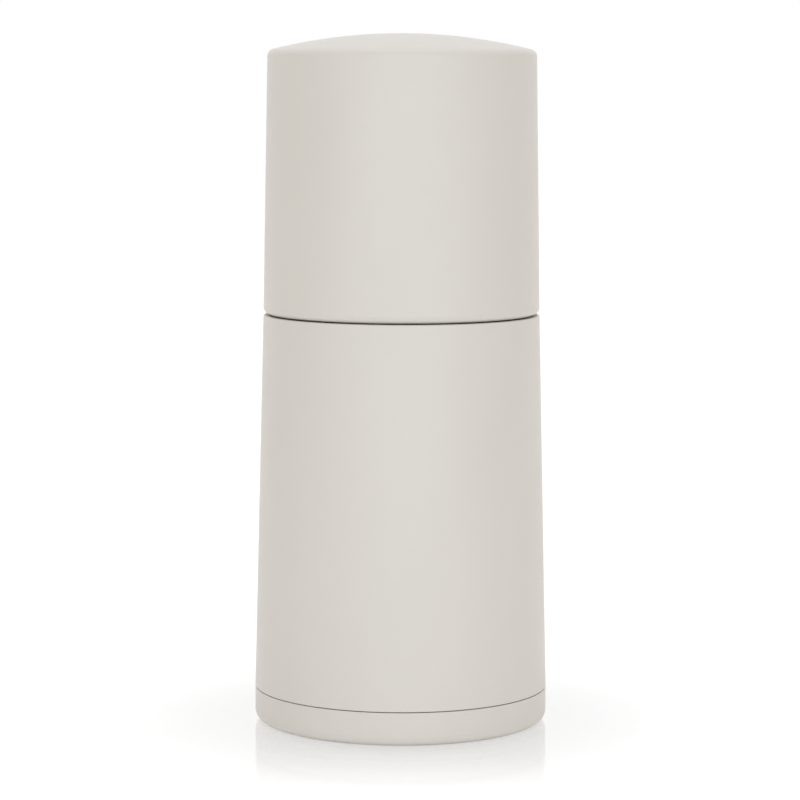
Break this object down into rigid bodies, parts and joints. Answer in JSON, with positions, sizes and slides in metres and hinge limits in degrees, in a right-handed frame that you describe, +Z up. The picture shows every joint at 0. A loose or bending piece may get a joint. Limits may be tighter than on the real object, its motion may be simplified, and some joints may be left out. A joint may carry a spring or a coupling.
{
  "type": "twist-top seed mill",
  "caption": "Hand-twisted mill for sesame and spices: tapered body with ceramic burrs, domed turning head on a steel shaft, stepless grind dial and lift-off base cap.",
  "frame": {"origin": "centre of the flat ring under the base cap, on the surface that the mill stands on", "axes": "+Z up along the mill's axis and its turning axis, +X along the grind dial's pointer at rest"},
  "size_m": [0.057, 0.057, 0.1337],
  "materials": {
    "shell": "matte",
    "dark_plastic": "matte",
    "white_plastic": "matte",
    "acetal": "satin",
    "dial_plastic": "matte",
    "ceramic": "satin",
    "steel": "satin",
    "spring_steel": "satin",
    "brass": "satin",
    "silicone": "matte"
  },
  "bodies": {
    "base_cap": {"base_cap": "shell", "cap_seal": "silicone"},
    "mill_body": {"body_shell": "shell", "hopper": "dark_plastic", "funnel": "dark_plastic", "base_collar": "dark_plastic", "collar_oring": "silicone", "burr_housing": "white_plastic", "shaft_bush": "acetal", "stator_burr": "ceramic", "stator_circlip": "steel", "housing_screws": "steel", "neck_oring": "silicone", "glide_ring": "acetal"},
    "drive": {"drive_shaft": "steel", "thrust_washer": "steel", "spring_washer": "steel", "burr_spring": "spring_steel"},
    "rotor": {"rotor_burr": "ceramic", "rotor_hub": "white_plastic"},
    "dial": {"grind_dial": "dial_plastic", "dial_nut": "brass"},
    "head": {"head_shell": "shell", "head_core": "dark_plastic", "neck_sleeve": "acetal", "drive_socket": "white_plastic", "head_screws": "steel", "socket_ring": "spring_steel"}
  },
  "joints": [
    {"name": "mill_lift", "type": "slide", "parent": "base_cap", "child": "mill_body", "axis": [0, 0, 1], "range_m": [0, 0.04]},
    {"name": "head_turn", "type": "hinge", "parent": "mill_body", "child": "drive", "pos_m": [0, 0, 0.03], "axis": [0, 0, 1], "continuous": true},
    {"name": "head_lift", "type": "slide", "parent": "drive", "child": "head", "axis": [0, 0, 1], "range_m": [0, 0.06]},
    {"name": "burr_lift", "type": "slide", "parent": "drive", "child": "rotor", "axis": [0, 0, 1], "range_m": [0, 0.0005833], "deforming": ["burr_spring"]},
    {"name": "dial_turn", "type": "hinge", "parent": "rotor", "child": "dial", "pos_m": [0, 0, 0.005], "axis": [0, 0, 1], "range_deg": [0, 300]}
  ],
  "couplings": [
    {"joint": "dial_turn", "follows": "burr_lift", "rad_per_m": 8976}
  ]
}
